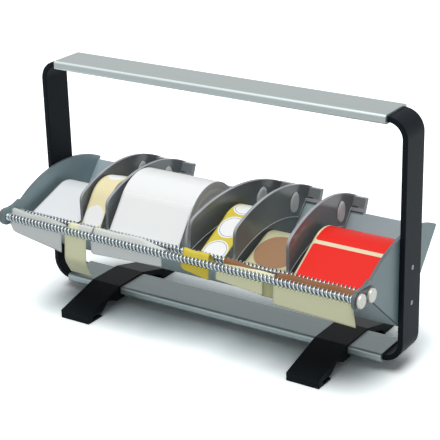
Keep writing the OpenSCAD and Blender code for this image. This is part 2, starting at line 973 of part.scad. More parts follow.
// Strips of label web: each runs over its roll, under the rear spring, over a crest,
// under the front spring and down. A guide is [y, z, radius, turn], turn 1 over and -1 under.
under_r = spring_r + web_off;
drop_y = front_rod_y - 1;
drop_z = front_rod_z - under_r - drop_r;

function guides(r, slack) = [
  [roll_at(r)[0], roll_at(r)[1], r + web_off, 1],
  each slack,
  [rear_rod_y, rear_rod_z, under_r, -1],
  [(rear_rod_y + front_rod_y) / 2, rear_rod_z + crest_rise - crest_r, crest_r, 1],
  [front_rod_y, front_rod_z, under_r, -1],
  [drop_y, drop_z, drop_r, 1]];

function positive(a) = a < 0 ? a + 360 : a;

// Heading of the straight run from one guide to the next
function heading(a, b) = positive(atan2(b[1] - a[1], b[0] - a[0])
  + asin((a[3] * a[2] - b[3] * b[2]) / norm([b[0] - a[0], b[1] - a[1]])));

function side_of(h) = [-sin(h), cos(h)];

// Stations [y, z, heading] along one guide between two headings
function stations(g, h0, h1) =
  let (n = max(1, ceil(abs(h1 - h0) / 12)))
  [for (i = [0 : n])
    let (h = h0 + (h1 - h0) * i / n,
      s = side_of(h))
    [g[0] - g[3] * g[2] * s[0], g[1] - g[3] * g[2] * s[1], h]];

function web_path(r, bottom, curl_r, curl, slack = []) =
  let (g = guides(r, slack),
    last = len(g) - 1,
    h = [for (i = [0 : last - 1]) heading(g[i], g[i + 1])],
    end_y = drop_y - drop_r)
  concat(
    stations(g[0], h[0] - web_wrap, h[0]),
    [for (i = [1 : last - 1]) each stations(g[i], h[i - 1], h[i])],
    stations(g[last], h[last - 1], 270),
    stations([end_y + curl_r, bottom, curl_r, 1], 270, 270 + curl));

module web_side(path) {
  left = [for (s = path) [s[0], s[1]] + side_of(s[2]) * web_t / 2];
  right = [for (i = [len(path) - 1 : -1 : 0])
    [path[i][0], path[i][1]] - side_of(path[i][2]) * web_t / 2];
  polygon(concat(left, right));
}

module strip(r, span, left_z, right_z) {
  x0 = span[0] + web_inset;
  w = span[1] - span[0] - 2 * web_inset;
  slope = atan2(left_z - right_z, w);
  color([0.9, 0.9, 0.84])
    difference() {
      along_x(x0, w)
        web_side(web_path(r, min(left_z, right_z) - 1, strip_curl_r, 0.5));
      translate([x0, drop_y - 2 * drop_r + y_shift, left_z])
        rotate([0, slope, 0])
          translate([-drop_r, 0, -w])
            cube([w + 4 * drop_r, 2 * drop_r + 1, w]);
    }
}

module strip_1() {
  strip(roll_1_r, roll_1_span, strip_1_left, strip_1_right);
}

module strip_2() {
  color([0.9, 0.9, 0.84])
    along_x(roll_2_span[0] + web_inset, roll_2_span[1] - roll_2_span[0] - 2 * web_inset)
      web_side(web_path(roll_2_r, strip_2_bend, strip_2_curl_r, strip_2_curl,
        [[slack_y, slack_z, slack_r, 1]]));
}

module strip_3() {
  strip(roll_3_r, roll_3_span, strip_3_left, strip_3_right);
}

module strip_4() {
  strip(roll_4_r, roll_4_span, strip_4_left, strip_4_right);
}

module strip_5() {
  strip(roll_5_r, roll_5_span, strip_5_left, strip_5_right);
}

module strip_6() {
  strip(roll_6_r, roll_6_span, strip_6_left, strip_6_right);
}

left_upright();
right_upright();
top_rail();
bottom_rail();
left_foot();
right_foot();
tray();
left_end_plate();
right_end_plate();
tray_screws();
front_rod();
rear_rod();
front_spring();
rear_spring();
left_clamp_plate();
right_clamp_plate();
rod_cap_nuts();
divider_1();
divider_2();
divider_3();
divider_4();
divider_5();
roll_1();
roll_2();
roll_3();
roll_4();
roll_5();
roll_6();
core_1();
core_2();
core_3();
core_4();
core_5();
core_6();
strip_1();
strip_2();
strip_3();
strip_4();
strip_5();
strip_6();
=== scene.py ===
"""Looks of a label roll dispenser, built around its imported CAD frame.

Lengths are metres. The label webs are described in millimetres, and turned into metres where they are used.
"""

import json
import math
import random
from dataclasses import dataclass

import bpy
from mathutils import Matrix, Vector

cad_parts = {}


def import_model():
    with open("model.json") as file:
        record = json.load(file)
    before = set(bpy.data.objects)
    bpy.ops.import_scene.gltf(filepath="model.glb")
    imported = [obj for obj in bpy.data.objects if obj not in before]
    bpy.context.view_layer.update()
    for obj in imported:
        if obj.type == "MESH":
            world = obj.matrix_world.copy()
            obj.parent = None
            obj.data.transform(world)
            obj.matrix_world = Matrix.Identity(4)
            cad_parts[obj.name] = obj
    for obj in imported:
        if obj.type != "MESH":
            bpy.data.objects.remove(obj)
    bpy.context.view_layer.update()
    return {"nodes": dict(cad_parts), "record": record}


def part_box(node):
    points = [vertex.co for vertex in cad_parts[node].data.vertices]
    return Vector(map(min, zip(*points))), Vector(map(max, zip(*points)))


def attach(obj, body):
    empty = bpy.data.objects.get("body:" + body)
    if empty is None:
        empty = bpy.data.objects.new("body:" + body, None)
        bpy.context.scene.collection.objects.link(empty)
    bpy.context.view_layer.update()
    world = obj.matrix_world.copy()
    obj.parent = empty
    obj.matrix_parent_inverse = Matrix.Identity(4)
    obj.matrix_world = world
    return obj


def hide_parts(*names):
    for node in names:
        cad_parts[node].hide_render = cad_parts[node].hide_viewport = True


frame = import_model()
nodes = frame["nodes"]
MM = 0.001
TURN = 2 * math.pi


# Colours and material nodes

def srgb(red, green, blue):
    """Linear colour from 8-bit screen values."""
    def channel(value):
        share = value / 255
        return share / 12.92 if share <= 0.04045 else ((share + 0.055) / 1.055) ** 2.4
    return (channel(red), channel(green), channel(blue), 1.0)


def shade(colour, factor):
    """A darker or lighter tone of a colour."""
    return (*(part * factor for part in colour[:3]), 1.0)


class Paint:
    """One material, with short calls that each add a node and return its output."""

    def __init__(self, name, colour, rough, **sockets):
        self.material = bpy.data.materials.new(name)
        self.material.use_nodes = True
        self.tree = self.material.node_tree
        self.shader = self.tree.nodes["Principled BSDF"]
        self.set("Base Color", colour)
        self.set("Roughness", rough)
        for socket, value in sockets.items():
            self.set(socket.replace("_", " "), value)

    def plug(self, socket, value):
        if isinstance(value, bpy.types.NodeSocket):
            self.tree.links.new(value, socket)
        else:
            socket.default_value = value

    def set(self, socket, value):
        self.plug(self.shader.inputs[socket], value)

    def node(self, kind, inputs, output=0, **settings):
        made = self.tree.nodes.new("ShaderNode" + kind)
        for name, value in settings.items():
            setattr(made, name, value)
        for socket, value in inputs.items():
            self.plug(made.inputs[socket], value)
        return made.outputs[output]

    def math(self, operation, a, b=0.0, c=0.0):
        return self.node("Math", {0: a, 1: b, 2: c}, operation=operation)

    def mix(self, factor, a, b):
        return self.node("Mix", {0: factor, 6: a, 7: b}, output=2, data_type="RGBA")

    def spread(self, value, low, high, start=0.35, end=0.65):
        """Maps a stretch of a value onto a range. The usual stretch is the middle of a noise."""
        return self.node("MapRange", {0: value, 1: start, 2: end, 3: low, 4: high})

    def split(self, vector):
        """The X, Y and Z of a vector."""
        return self.node("SeparateXYZ", {0: vector}).node.outputs

    def place(self):
        return self.node("TexCoord", {}, output="Object")

    def place_from(self, point):
        return self.node("VectorMath", {0: self.place(), 1: point}, operation="SUBTRACT")

    def facing(self):
        """The X, Y and Z of the direction in which the surface faces."""
        return self.split(self.node("TexCoord", {}, output="Normal"))

    def noise(self, scale, detail=2.0, stretch=(1, 1, 1)):
        where = self.node("Mapping", {"Vector": self.place(), "Scale": stretch})
        return self.node("TexNoise", {"Vector": where, "Scale": scale, "Detail": detail})

    def rings(self, away, scale, detail):
        """Noise that changes only with a distance."""
        inputs = {"W": away, "Scale": scale, "Detail": detail}
        return self.node("TexNoise", inputs, noise_dimensions="1D")

    def bump(self, height, distance, edge=0.0):
        """Relief on the surface, over sharp edges that catch the light as if rounded."""
        inputs = {"Height": height, "Distance": distance}
        if edge:
            inputs["Normal"] = self.node("Bevel", {"Radius": edge}, samples=6)
        self.set("Normal", self.node("Bump", inputs))


DRIFT_SCALE = 14
GLOSS_DRIFT = 0.05
NARROW_EDGE = (0.45, 0.8)  # how far a surface faces along X, from a plate's edge to its side
RIM_BLEND = 0.5
ALL_ROUND = -1.5  # below what any surface faces up


def coated(name, colour, rough, grain, relief, drift=0.06, edge=0.6 * MM, rim=None, rim_from=ALL_ROUND,
           **sockets):
    """Painted metal or moulded plastic: a fine grain in gloss and relief, and a slow drift in shade.

    A rim colour goes on the narrow edges of a plate that stands across X, where they face up
    more than rim_from. It is a painted highlight where it is lighter than the face and a painted shade where
    it is darker.
    """
    paint = Paint(name, colour, rough, **sockets)
    slow = paint.noise(DRIFT_SCALE)
    fine = paint.noise(grain)
    face = paint.mix(paint.spread(slow, 0, 1), shade(colour, 1 - drift), shade(colour, 1 + drift))
    # Painted light and shade on the narrow edges: where they face up enough, the rim colour replaces the face
    # colour
    if rim:
        across, _, upward = paint.facing()
        narrow = paint.spread(paint.math("ABSOLUTE", across), 1, 0, *NARROW_EDGE)
        upper = paint.spread(upward, 0, 1, rim_from, rim_from + RIM_BLEND)
        face = paint.mix(paint.math("MULTIPLY", narrow, upper), face, rim)
    paint.set("Base Color", face)
    paint.set("Roughness", paint.spread(fine, rough - GLOSS_DRIFT, rough + GLOSS_DRIFT))
    paint.bump(fine, relief, edge)
    return paint.material


STREAKS, BANDS = (9, 2600, 2600), (2, 240, 240)
BAND_DRIFT = 0.015
STREAK_RELIEF = 0.004 * MM
ROUNDED_EDGE = (0.15, 0.4)  # how far a surface faces both along Y and up or down
FLAT_FRONT = (-0.926, -0.816)  # how far a surface faces along Y


def brushed(name, colour, rough, highlight_tone, on_front=False):
    """Extruded aluminium brushed along X, with a painted highlight on its rounded long edges or on its flat
    front.
    """
    paint = Paint(name, colour, rough, Metallic=0.6)
    streak = paint.noise(1, detail=4, stretch=STREAKS)
    band = paint.noise(1, stretch=BANDS)
    _, forward, upward = paint.facing()
    # Painted highlight: where the surface faces the way that catches the light, its colour is made lighter
    if on_front:
        highlight_mask = paint.spread(forward, 1, 0, *FLAT_FRONT)
    else:
        slant = paint.math("MULTIPLY", paint.math("ABSOLUTE", forward), paint.math("ABSOLUTE", upward))
        highlight_mask = paint.spread(slant, 0, 1, *ROUNDED_EDGE)
    plain = paint.mix(paint.spread(band, 0, 1), shade(colour, 1 - BAND_DRIFT), shade(colour, 1 + BAND_DRIFT))
    paint.set("Base Color", paint.mix(highlight_mask, plain, shade(colour, highlight_tone)))
    paint.set("Roughness", paint.spread(streak, rough - 0.03, rough + 0.04))
    paint.bump(streak, STREAK_RELIEF)
    return paint.material


MARK_SCALE = 700
MARK_TONE = 0.92


def bright_steel(name, colour, rough):
    """Plated steel with faint drawing marks."""
    paint = Paint(name, colour, rough, Metallic=1.0)
    mark = paint.noise(MARK_SCALE, detail=3)
    paint.set("Roughness", paint.spread(mark, rough - 0.04, rough + 0.08))
    paint.set("Base Color", paint.mix(paint.spread(mark, 0, 1), shade(colour, MARK_TONE), colour))
    return paint.material


CARD_FIBRE_SCALE, CARD_BLOTCH_SCALE = 500, 60
CARD_TONES = (0.86, 1.06)
CARD_RELIEF = 0.1 * MM


def card(name, colour, rough):
    """Wound card: fibres and slow blotches."""
    paint = Paint(name, colour, rough)
    fibre = paint.noise(CARD_FIBRE_SCALE, detail=4)
    blotch = paint.noise(CARD_BLOTCH_SCALE)
    dark, light = (shade(colour, tone) for tone in CARD_TONES)
    paint.set("Base Color", paint.mix(paint.spread(blotch, 0, 1), dark, light))
    paint.bump(fibre, CARD_RELIEF)
    return paint.material


BLACK = srgb(15, 21, 27)
FOOT_BLACK = srgb(20, 24, 28)
ALUMINIUM = srgb(162, 170, 170)
# Darker copy of the rail aluminium: painted shade on the bottom rail, which lies under the tray
SHADED_LOW_ALUMINIUM = srgb(143, 154, 155)
TRAY_GREY = srgb(183, 202, 208)
PLATE_GREY = srgb(117, 141, 147)
# Lighter copy of the end plate grey: painted light on the left plate, whose inner face lies in shade
LIT_LEFT_PLATE_GREY = srgb(152, 174, 180)
# Darker colour for the end plates' edges: painted shade against the light that the edges catch
PLATE_RIM_SHADE = srgb(91, 102, 106)
DIVIDER_GREY = srgb(126, 132, 136)
# Lighter colour for the dividers' upward-facing edges: a painted highlight
RIM_HIGHLIGHT_GREY = srgb(160, 165, 169)
PAD_GREY = srgb(240, 244, 246)
# Lighter colour for the beads on the dividers: a painted highlight along the thick band's edge
BEAD_HIGHLIGHT_GREY = srgb(206, 209, 211)
FIXING_STEEL = srgb(150, 155, 160)
SPRING_STEEL = srgb(188, 196, 199)
DARK_STEEL = srgb(150, 158, 162)
CLAMP_DARK = srgb(60, 63, 66)
CAP_WHITE = srgb(216, 214, 206)
CARD = srgb(170, 138, 104)
WHITE = srgb(238, 240, 240)
COOL_WHITE = srgb(220, 224, 227)
# The white strips of webs 1 and 3 past the front spring, painted darker: painted shade under the springs
SHADED_HANGING_WHITE = srgb(216, 222, 222)
WHITE_LINER = srgb(226, 227, 222)
SHADED_LINER = srgb(193, 197, 194)
# White paper between the springs, painted greyer: painted shade
SHADED_CREST_WHITE = srgb(212, 215, 211)
LIGHT_CREAM = srgb(226, 229, 192)
# Cream liner of web 5 up to the rear spring, painted darker: painted shade on the roll deep between dividers
SHADED_ROLL_CREAM = srgb(194, 192, 156)
WARM_CREAM = srgb(230, 218, 184)
PALE_YELLOW = srgb(236, 225, 182)
YELLOW = srgb(214, 196, 72)
BROWN = srgb(159, 123, 93)
# Dark brown on the crest between the springs of webs 5 and 6: painted shade; on web 6 it also stands for the
# red roll's reflected light on the cream liner
SHADED_CREST_BROWN = srgb(140, 96, 62)
RED = srgb(232, 36, 26)
TAUPE = srgb(252, 248, 241)
# Cream paper of the offcut painted olive: painted shade behind the strips
SHADED_FLAP_CREAM = srgb(172, 172, 128)
INK = srgb(120, 128, 150)


def plate_paint(name, colour):
    """Painted end plate with a darker edge all round, a painted shade."""
    return coated(name, colour, rough=0.4, grain=1800, relief=0.02 * MM, drift=0.04, rim=PLATE_RIM_SHADE)


# Finish of each material slot, and of the nodes that have one of their own

slot_finish = {
    "black_bar": coated("bar_black", BLACK, rough=0.5, grain=1500, relief=0.05 * MM, Specular_IOR_Level=0.07),
    "foot_black": coated("foot_plastic", FOOT_BLACK, rough=0.5, grain=900, relief=0.06 * MM,
                         Specular_IOR_Level=0.06),
    # top rail: painted highlight on its rounded long edges
    "rail_aluminium": brushed("rail_brushed", ALUMINIUM, rough=0.42, highlight_tone=1.7),
    "tray_sheet": coated("tray_paint", TRAY_GREY, rough=0.38, grain=1800, relief=0.02 * MM, drift=0.03),
    "end_plate_grey": plate_paint("end_plate_paint", PLATE_GREY),
    # dividers: painted highlight on their edges that face up
    "divider_grey": coated("divider_plastic", DIVIDER_GREY, rough=0.18, grain=1200, relief=0.02 * MM,
                           drift=0.04, rim=RIM_HIGHLIGHT_GREY, rim_from=0.1),
    "fixing_steel": bright_steel("fixing_plated", FIXING_STEEL, rough=0.5),
    "spring_steel": bright_steel("spring_bright", SPRING_STEEL, rough=0.3),
    "card_core": card("core_card", CARD, rough=0.85),
}
rod_steel = bright_steel("rod_steel", DARK_STEEL, rough=0.4)
clamp_paint = coated("clamp_dark", CLAMP_DARK, rough=0.4, grain=1500, relief=0.02 * MM)
node_finish = {
    # left plate: the end plate paint made lighter, as painted light on its shaded inner face
    "left_end_plate": plate_paint("lit_left_plate_paint", LIT_LEFT_PLATE_GREY),
    # bottom rail: rail aluminium made darker as painted shade, with a painted highlight on its flat front
    "bottom_rail": brushed("low_rail_shaded_brushed", SHADED_LOW_ALUMINIUM, rough=0.45, highlight_tone=1.65, on_front=True),
    "front_rod": rod_steel,
    "rear_rod": rod_steel,
    "rod_cap_nuts": coated("cap_plated", CAP_WHITE, rough=0.3, grain=1500, relief=0.003 * MM, drift=0.01,
                           Metallic=0.3),
    "left_clamp_plate": clamp_paint,
    "right_clamp_plate": clamp_paint,
}
pad_paint = coated("pad_plastic", PAD_GREY, rough=0.34, grain=1400, relief=0.03 * MM, drift=0.03)
# beads: the divider plastic made lighter as a painted highlight
bead_highlight_paint = coated("bead_highlight_plastic", BEAD_HIGHLIGHT_GREY, rough=0.34, grain=1400, relief=0.003 * MM, drift=0.03)
# the offcut's paper in its painted shade
shaded_flap_paper = coated("shaded_flap_paper", SHADED_FLAP_CREAM, rough=0.6, grain=1400, relief=0.015 * MM, drift=0.03, edge=0)

for part in frame["record"]["subparts"]:
    slot = part["material_slot"]
    if slot in slot_finish:
        mesh = nodes[part["node"]].data
        mesh.materials.clear()
        mesh.materials.append(node_finish.get(part["node"], slot_finish[slot]))


# Meshes

def piece(name, verts, faces, materials, body, slot):
    """A new mesh with the given materials, which moves with a CAD body. Its slot is not used."""
    mesh = bpy.data.meshes.new(name)
    mesh.from_pydata([tuple(v) for v in verts], [], faces)
    mesh.validate()
    mesh.shade_smooth()
    for material in materials:
        mesh.materials.append(material)
    made = bpy.data.objects.new(name, mesh)
    bpy.context.scene.collection.objects.link(made)
    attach(made, body)
    return made


STEEP = 0.9


def tube(line, radius, sides=8):
    """Vertices and faces of a closed round tube along a line of points."""
    verts, faces = [], []
    for i, point in enumerate(line):
        ahead = (line[min(i + 1, len(line) - 1)] - line[max(i - 1, 0)]).normalized()
        beside = Vector((0, 0, 1)) if abs(ahead.z) < STEEP else Vector((1, 0, 0))
        across = ahead.cross(beside).normalized()
        up = across.cross(ahead)
        for k in range(sides):
            turn = TURN * k / sides
            verts.append(point + radius * (math.cos(turn) * across + math.sin(turn) * up))
    for i in range(len(line) - 1):
        for k in range(sides):
            a, b = i * sides + k, i * sides + (k + 1) % sides
            faces.append((a, b, b + sides, a + sides))
    faces.append(tuple(reversed(range(sides))))
    faces.append(tuple(range(len(verts) - sides, len(verts))))
    return verts, faces


def sheet_faces(lines, points):
    """Faces of a thin closed sheet: lines of points make its upper side, and as many its lower side."""
    below = lines * points
    faces = []
    for i in range(lines - 1):
        for k in range(points - 1):
            a = i * points + k
            b = a + points
            faces.append((a, a + 1, b + 1, b))
            faces.append((below + a, below + b, below + b + 1, below + a + 1))
    rim = list(range(points))
    rim += [i * points + points - 1 for i in range(1, lines)]
    rim += [(lines - 1) * points + k for k in reversed(range(points - 1))]
    rim += [i * points for i in reversed(range(1, lines - 1))]
    for a, b in zip(rim, rim[1:] + rim[:1]):
        faces.append((a, below + a, below + b, b))
    return faces


def middle_of(node):
    low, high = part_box(node)
    return (low + high) / 2


def radius_of(node):
    low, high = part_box(node)
    return (high.z - low.z) / 2


# Springs

SPRING_TURNS = {"front_spring": 97, "rear_spring": 95}
CLOSED_TURNS = 2
WIRE = 2 * MM
STEPS_PER_TURN = 20


def spring(node):
    """A wire coil in place of the CAD spring, with closed turns at both ends."""
    turns = SPRING_TURNS[node]
    open_turns = turns - 2 * CLOSED_TURNS
    low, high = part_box(node)
    middle = middle_of(node)
    radius = radius_of(node) - WIRE / 2
    start = low.x + WIRE / 2
    free = high.x - low.x - WIRE - 2 * CLOSED_TURNS * WIRE
    line = []
    for i in range(turns * STEPS_PER_TURN + 1):
        turn = i / STEPS_PER_TURN
        opened = min(max(turn - CLOSED_TURNS, 0), open_turns)
        x = start + WIRE * (turn - opened) + free * opened / open_turns
        y = middle.y + radius * math.cos(TURN * turn)
        z = middle.z + radius * math.sin(TURN * turn)
        line.append(Vector((x, y, z)))
    slot = "spring_steel"
    made = piece(node + "_coil", *tube(line, WIRE / 2), [slot_finish[slot]], "frame", slot)
    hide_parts(node)


for node in SPRING_TURNS:
    spring(node)


# Label webs: the wound roll and the strip that runs from it share one pattern of labels

@dataclass
class Web:
    """A label web, in millimetres. Values at the edges are for the left and the right edge.

    A length along the web starts where it leaves its roll and runs towards the front. The stage of a
    strip is 0 before the rear spring, 1 on the crest between the springs and 2 past the front spring.
    """

    number: int
    slot: str
    liner: tuple  # colour up to the rear spring
    label: tuple  # colour of the labels
    size: tuple  # a label across the web and along it
    corner: float  # radius of a label's corners
    pitch: float  # from one label to the next
    first: float  # along the web to the middle of a label
    bottom: tuple  # heights of the cut lower end at the edges
    crest: tuple  # lift at the left edge, lift further right, share of the width to there, and wave
    spread: tuple  # sideways shifts of the edges at the crest
    flare: tuple  # sideways shifts of the edges past the front spring
    skew: float = 0  # sideways run of the strip after it leaves its roll
    fall: tuple = (0, 0)  # crest falls to the right: from a share of the width, by a height
    splay: float = 0  # sideways shift of the lower right corner
    round_corner: float = 0  # radius of the lower left corner
    slack: tuple = ()  # guide before the rear spring: y, z, radius and turn
    curl: tuple = ()  # curl at the lower end: radius, degrees and straight tail
    # On webs 1, 2, 3, 5 and 6 the colour between the springs is painted shade; on webs 1 and 3 so is the
    # colour past them
    between: tuple = ()  # colour between the springs, if not the liner's
    hanging: tuple = ()  # colour past the springs, if not the liner's
    hangs_from: tuple = (1.5, 1.5)  # stages where the hanging colour starts at the edges
    ends: tuple = ()  # colour of the roll's ends, if not a darker liner
    ring: tuple = ()  # colour of a thin ring on the labels


WEBS = [
    Web(1, "paper_white", WHITE_LINER, COOL_WHITE, size=(75, 104), corner=1.5, pitch=105.2, first=58.9,
        bottom=(122.1, 108.6), crest=(6, 3.4, 0.35, 0.4), fall=(0.75, 5), spread=(-11.3, 0),
        flare=(-4.6, 3.3), round_corner=9, between=SHADED_LINER, hanging=SHADED_HANGING_WHITE),
    Web(2, "paper_cream", PALE_YELLOW, WHITE, size=(29, 32), corner=16, pitch=73, first=100, skew=-0.8,
        bottom=(107, 107), crest=(4.5, 5, 1, 0.5), spread=(-3, 6), flare=(-0.7, 3.7),
        slack=(-20.25, 145.6, 38, 1), curl=(22, 35, 15), between=SHADED_CREST_WHITE, hanging=LIGHT_CREAM,
        hangs_from=(0.5, 1.9)),
    Web(3, "paper_white", WHITE, WHITE, size=(106, 150), corner=1.5, pitch=152, first=30, skew=-1.5,
        bottom=(117, 122.2), crest=(5.5, 4.8, 1, 0.5), fall=(0.68, 6.5), spread=(-6.5, -5),
        flare=(-2.5, -1.5), round_corner=2, between=SHADED_CREST_WHITE, hanging=SHADED_HANGING_WHITE, ends=TAUPE),
    Web(4, "paper_yellow", YELLOW, WHITE, size=(33, 33), corner=16.5, pitch=37.4, first=11, skew=-6.2,
        bottom=(126.4, 119.9), crest=(6.5, 5.5, 1, 0.6), spread=(-7.5, -6), flare=(-3.5, 1.5),
        round_corner=4, ring=INK),
    Web(5, "paper_brown", SHADED_ROLL_CREAM, BROWN, size=(57.5, 57.5), corner=28.75, pitch=79, first=20, skew=-0.5,
        bottom=(123.4, 117.9), crest=(7, -0.8, 0.85, 0.4), spread=(-2, 4), flare=(-7.5, -3.9),
        slack=(-62.25, 157.5, 30, -1), between=SHADED_CREST_BROWN, hanging=LIGHT_CREAM, hangs_from=(1.16, 0.94)),
    Web(6, "paper_red", WARM_CREAM, RED, size=(92, 69.6), corner=3, pitch=75, first=41.8, skew=0.5,
        bottom=(110.4, 106.4), crest=(3.5, 3.5, 1, 0.5), spread=(-9, 0), flare=(-6.5, 0.2), splay=4.5,
        between=SHADED_CREST_BROWN, hanging=LIGHT_CREAM),
]
FRONT, REAR = middle_of("front_rod"), middle_of("rear_rod")
COIL_R = radius_of("front_spring")
WEB_T = 0.3 * MM
WEB_CLEAR = 0.08 * MM
WRAP = math.radians(8)
CREST_RISE = 4 * MM
CREST_R = 4 * MM
DROP_R = 1.2 * MM
DROP_SET = 1 * MM
HANG_HEADING = math.radians(265)
CURL_R = 400 * MM
LEAST_HANG = 0.5 * MM
ARC_STEPS = 10
RUN_STEPS = 6
HANG_STEPS = 14

# Stages where a strip comes to and leaves the rear spring, the crest, the front spring and the drop
GUIDE_STAGES = [(0, 0.8), (0.95, 1.05), (1.3, 2), (2, 2)]


def heading(a, b):
    """Direction of the straight run from one guide (y, z, radius, turn) to the next."""
    away = math.hypot(b[0] - a[0], b[1] - a[1])
    angle = math.atan2(b[1] - a[1], b[0] - a[0]) + math.asin((a[3] * a[2] - b[3] * b[2]) / away)
    return angle % TURN


def guide_point(guide, angle):
    y, z, radius, turn = guide
    return (y + turn * radius * math.sin(angle), z - turn * radius * math.cos(angle))


def web_guides(web, lift):
    """Guides that a strip runs round, with its crest between the springs lifted by a length."""
    roll = f"roll_{web.number}"
    centre = middle_of(roll)
    off = WEB_CLEAR + WEB_T / 2
    under = COIL_R + off
    guides = [(centre.y, centre.z, radius_of(roll) + off, 1)]
    if web.slack:
        y, z, radius, turn = web.slack
        guides.append((y * MM, z * MM, radius * MM, turn))
    guides += [
        (REAR.y, REAR.z, under, -1),
        ((REAR.y + FRONT.y) / 2, REAR.z + CREST_RISE + lift - CREST_R, CREST_R, 1),
        (FRONT.y, FRONT.z, under, -1),
        (FRONT.y - DROP_SET, FRONT.z - under - DROP_R, DROP_R, 1),
    ]
    return guides


def hanging_end(start, bottom):
    """Stations of an end that hangs down in a slight curve."""
    y0, z0, angle, stage = start
    fall = max(z0 - bottom, LEAST_HANG)
    line = []
    for k in range(1, HANG_STEPS + 1):
        drop = fall * k / HANG_STEPS
        y = y0 - drop / math.tan(angle) + drop * drop / (2 * CURL_R)
        line.append((y, z0 - drop, angle + drop / CURL_R, stage))
    return line


def curled_end(start, bottom, curl):
    """Stations of an end that hangs straight to a height and then curls back, with a straight tail."""
    y0, z0, angle, stage = start
    radius, bend, tail = curl[0] * MM, math.radians(curl[1]), curl[2] * MM
    y = y0 - (z0 - bottom) / math.tan(angle)
    line = [(y, bottom, angle, stage)]
    guide = (y - radius * math.sin(angle), bottom + radius * math.cos(angle), radius, 1)
    for k in range(1, HANG_STEPS):
        turned = angle + bend * k / (HANG_STEPS - 1)
        line.append((*guide_point(guide, turned), turned, stage))
    y, z, turned, _ = line[-1]
    line.append((y + tail * math.cos(turned), z + tail * math.sin(turned), turned, stage))
    return line


def web_line(web, lift, bottom):
    """Stations (y, z, heading, stage) from the roll to the strip's end, the same number for every lift."""
    guides = web_guides(web, lift)
    runs = [heading(a, b) for a, b in zip(guides, guides[1:])]
    starts = [runs[0] - WRAP] + runs
    ends = runs + [HANG_HEADING]
    stages = [(0, 0)] * (len(guides) - len(GUIDE_STAGES)) + GUIDE_STAGES
    line = []
    for guide, start, end, (before, after) in zip(guides, starts, ends, stages):
        if line:
            y0, z0, _, stage = line[-1]
            y1, z1 = guide_point(guide, start)
            for k in range(1, RUN_STEPS):
                t = k / RUN_STEPS
                line.append((y0 + (y1 - y0) * t, z0 + (z1 - z0) * t, start, stage + (before - stage) * t))
        for k in range(ARC_STEPS + 1):
            t = k / ARC_STEPS
            angle = start + (end - start) * t
            line.append((*guide_point(guide, angle), angle, before + (after - before) * t))
    if web.curl:
        return line + curled_end(line[-1], bottom, web.curl)
    return line + hanging_end(line[-1], bottom)


PAPER_ROUGH = 0.5
PAPER_GLOSS = (0.44, 0.56)
PAPER_FIBRE_SCALE, PAPER_MOTTLE_SCALE = 1400, 25
LINER_MOTTLE = 0.97
LABEL_RELIEF, FIBRE_RELIEF, PAPER_RELIEF = 0.6, 0.25, 0.06 * MM
RING_IN, RING_HALF = 2.2 * MM, 0.35 * MM
CREST_FROM = 0.5  # stage where the labels end and the colour between the springs starts


def label_edge(paint, web, across, along):
    """Distance to the nearest label's rounded edge, below 0 on the label."""
    width, length, corner = web.size[0] * MM, web.size[1] * MM, web.corner * MM
    half_pitch = web.pitch * MM / 2
    away = paint.math("WRAP", paint.math("SUBTRACT", along, web.first * MM), half_pitch, -half_pitch)
    out_x = paint.math("SUBTRACT", paint.math("ABSOLUTE", across), width / 2 - corner)
    out_y = paint.math("SUBTRACT", paint.math("ABSOLUTE", away), length / 2 - corner)
    past_x, past_y = (paint.math("POWER", paint.math("MAXIMUM", out, 0), 2) for out in (out_x, out_y))
    outer = paint.math("SQRT", paint.math("ADD", past_x, past_y))
    inner = paint.math("MINIMUM", paint.math("MAXIMUM", out_x, out_y), 0)
    return paint.math("SUBTRACT", paint.math("ADD", outer, inner), corner)


def place_on_roll(paint, web):
    """Place across a wound web and along it, from the angle round the roll's axis."""
    roll = f"roll_{web.number}"
    guides = web_guides(web, 0)
    leaves_at = heading(guides[0], guides[1]) - math.pi
    across, y, z = paint.split(paint.place_from(middle_of(roll)))
    angle = paint.math("ARCTAN2", paint.math("MULTIPLY", y, -1), z)
    return across, paint.math("MULTIPLY", paint.math("SUBTRACT", angle, leaves_at), radius_of(roll))


def web_paint(web, on_roll):
    """Liner and labels. A strip's place on its web is in the attribute that its mesh carries."""
    name = f"{'roll' if on_roll else 'strip'}_{web.number}_paper"
    paint = Paint(name, web.liner, PAPER_ROUGH, Specular_IOR_Level=0.25)
    fibre = paint.noise(PAPER_FIBRE_SCALE, detail=3)
    mottle = paint.noise(PAPER_MOTTLE_SCALE)
    liner = paint.mix(paint.spread(mottle, 0, 1), shade(web.liner, LINER_MOTTLE), web.liner)
    if on_roll:
        across, along = place_on_roll(paint, web)
    else:
        spot = paint.node("Attribute", {}, output="Vector", attribute_name="web")
        across, along, stage = paint.split(spot)
    edge = label_edge(paint, web, across, along)
    on_label = paint.math("LESS_THAN", edge, 0)
    if not on_roll:
        low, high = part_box(f"strip_{web.number}")
        half = (high.x - low.x) / 2
        on_crest = paint.math("GREATER_THAN", stage, CREST_FROM)
        past = paint.math("GREATER_THAN", stage, paint.spread(across, *web.hangs_from, -half, half))
        liner = paint.mix(on_crest, liner, web.between or web.liner)
        liner = paint.mix(past, liner, web.hanging or web.liner)
        on_label = paint.math("MULTIPLY", on_label, paint.math("LESS_THAN", stage, CREST_FROM))
    label = web.label
    if web.ring:
        from_ring = paint.math("ABSOLUTE", paint.math("ADD", edge, RING_IN))
        label = paint.mix(paint.math("LESS_THAN", from_ring, RING_HALF), web.label, web.ring)
    paint.set("Base Color", paint.mix(on_label, liner, label))
    paint.set("Roughness", paint.spread(fibre, *PAPER_GLOSS))
    step = paint.math("MULTIPLY", on_label, LABEL_RELIEF)
    paint.bump(paint.math("ADD", step, paint.math("MULTIPLY", fibre, FIBRE_RELIEF)), PAPER_RELIEF)
    return paint.material


